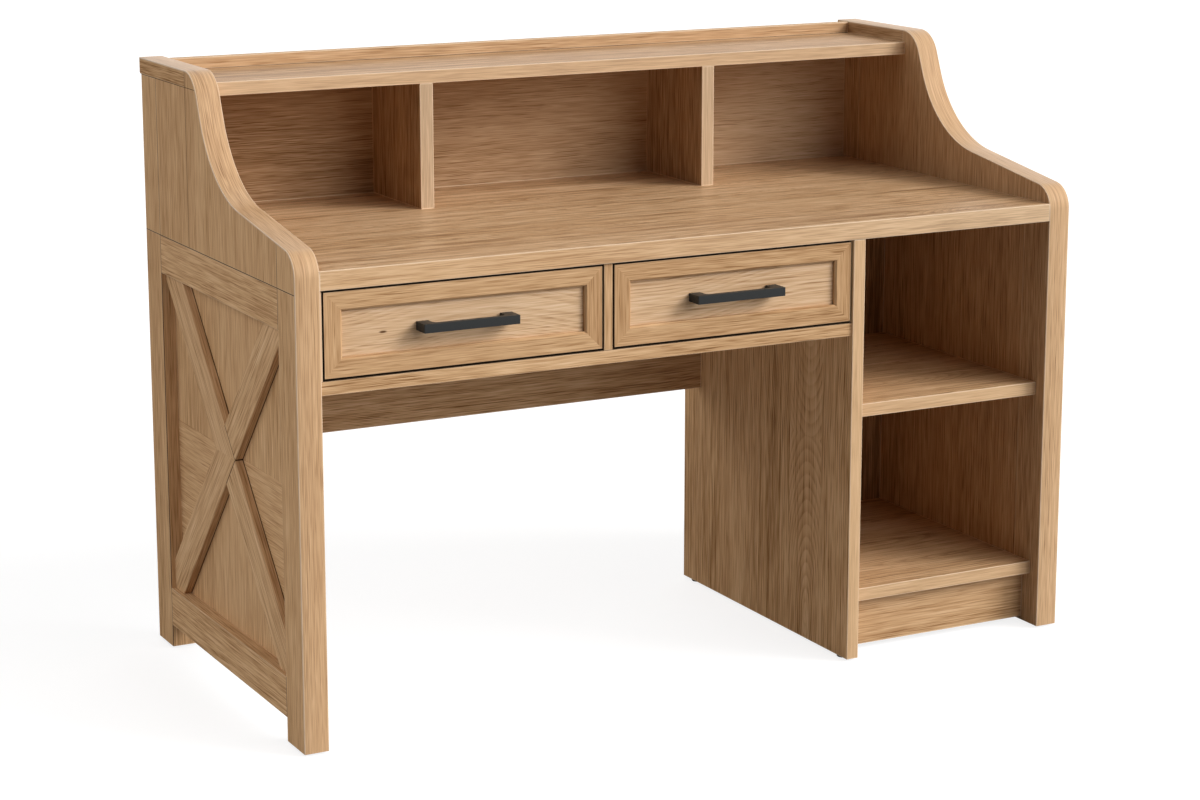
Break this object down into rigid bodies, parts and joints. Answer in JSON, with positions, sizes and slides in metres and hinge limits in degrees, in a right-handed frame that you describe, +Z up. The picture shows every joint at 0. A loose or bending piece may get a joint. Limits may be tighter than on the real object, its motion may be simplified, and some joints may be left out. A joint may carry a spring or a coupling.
{
  "type": "student desk with hutch",
  "caption": "Light oak desk with X-braced ends, low swept hutch with cubbies and gallery shelf, drawers with black bar pulls and an open shelf pedestal.",
  "frame": {"origin": "middle of the footprint of the whole desk, on the floor", "axes": "+X to the right end, -Y to the user's side where the drawers open, +Z up"},
  "size_m": [1.4, 0.6884, 0.997],
  "materials": {
    "oak_top": "satin oak laminate, grain along the board",
    "oak_frame": "satin oak laminate, grain along each member",
    "oak_panel": "satin oak laminate with cathedral grain",
    "drawer_box_board": "matt oak-print board",
    "black_metal": "matt black powder coat",
    "runner_zinc": "zinc-plated sheet steel",
    "screw_steel": "zinc-plated",
    "glide_plastic": "black moulded plastic"
  },
  "bodies": {
    "root": {"bottom_shelf": "oak_top", "desktop": "oak_top", "drawer_partition": "oak_frame", "drawer_rail": "oak_frame", "floor_glides": "glide_plastic", "gallery_rail": "oak_frame", "hutch_back": "oak_panel", "hutch_dividers": "oak_panel", "hutch_shelf": "oak_top", "left_back_stile": "oak_frame", "left_bottom_rail": "oak_frame", "left_brace_back_arms": "oak_frame", "left_brace_front_arms": "oak_frame", "left_edge_band": "oak_frame", "left_end_panel": "oak_panel", "left_front_stile": "oak_frame", "left_hutch_back_stile": "oak_frame", "left_hutch_cap": "oak_frame", "left_hutch_end_panel": "oak_panel", "left_hutch_front_stile": "oak_frame", "left_top_rail": "oak_frame", "middle_shelf": "oak_top", "modesty_panel": "oak_panel", "pedestal_back": "oak_panel", "pedestal_divider": "oak_panel", "right_back_stile": "oak_frame", "right_bottom_rail": "oak_frame", "right_brace_back_arms": "oak_frame", "right_brace_front_arms": "oak_frame", "right_edge_band": "oak_frame", "right_end_panel": "oak_panel", "right_front_stile": "oak_frame", "right_hutch_back_stile": "oak_frame", "right_hutch_cap": "oak_frame", "right_hutch_end_panel": "oak_panel", "right_hutch_front_stile": "oak_frame", "right_top_rail": "oak_frame", "runner_cabinet_members": "runner_zinc", "runner_spacer": "oak_frame", "toe_kick": "oak_frame"},
    "left_drawer": {"left_drawer_box_back": "drawer_box_board", "left_drawer_box_floor": "drawer_box_board", "left_drawer_front_panel": "oak_panel", "left_drawer_front_rails": "oak_frame", "left_drawer_front_stiles": "oak_frame", "left_drawer_pull": "black_metal", "left_drawer_pull_screws": "screw_steel", "left_drawer_runner_members": "runner_zinc", "left_drawer_sides": "drawer_box_board"},
    "left_runner_middle": {"left_runner_middle_members": "runner_zinc"},
    "right_drawer": {"right_drawer_box_back": "drawer_box_board", "right_drawer_box_floor": "drawer_box_board", "right_drawer_front_panel": "oak_panel", "right_drawer_front_rails": "oak_frame", "right_drawer_front_stiles": "oak_frame", "right_drawer_pull": "black_metal", "right_drawer_pull_screws": "screw_steel", "right_drawer_runner_members": "runner_zinc", "right_drawer_sides": "drawer_box_board"},
    "right_runner_middle": {"right_runner_middle_members": "runner_zinc"}
  },
  "joints": [
    {"name": "left_drawer_slide", "type": "slide", "parent": "root", "child": "left_drawer", "axis": [0, -1, 0], "range_m": [0, 0.35]},
    {"name": "right_drawer_slide", "type": "slide", "parent": "root", "child": "right_drawer", "axis": [0, -1, 0], "range_m": [0, 0.35]},
    {"name": "left_runner_middle_slide", "type": "slide", "parent": "root", "child": "left_runner_middle", "axis": [0, -1, 0], "range_m": [0, 0.175]},
    {"name": "right_runner_middle_slide", "type": "slide", "parent": "root", "child": "right_runner_middle", "axis": [0, -1, 0], "range_m": [0, 0.175]}
  ],
  "couplings": [
    {"joint": "left_runner_middle_slide", "follows": "left_drawer_slide", "ratio": 0.5},
    {"joint": "right_runner_middle_slide", "follows": "right_drawer_slide", "ratio": 0.5}
  ]
}
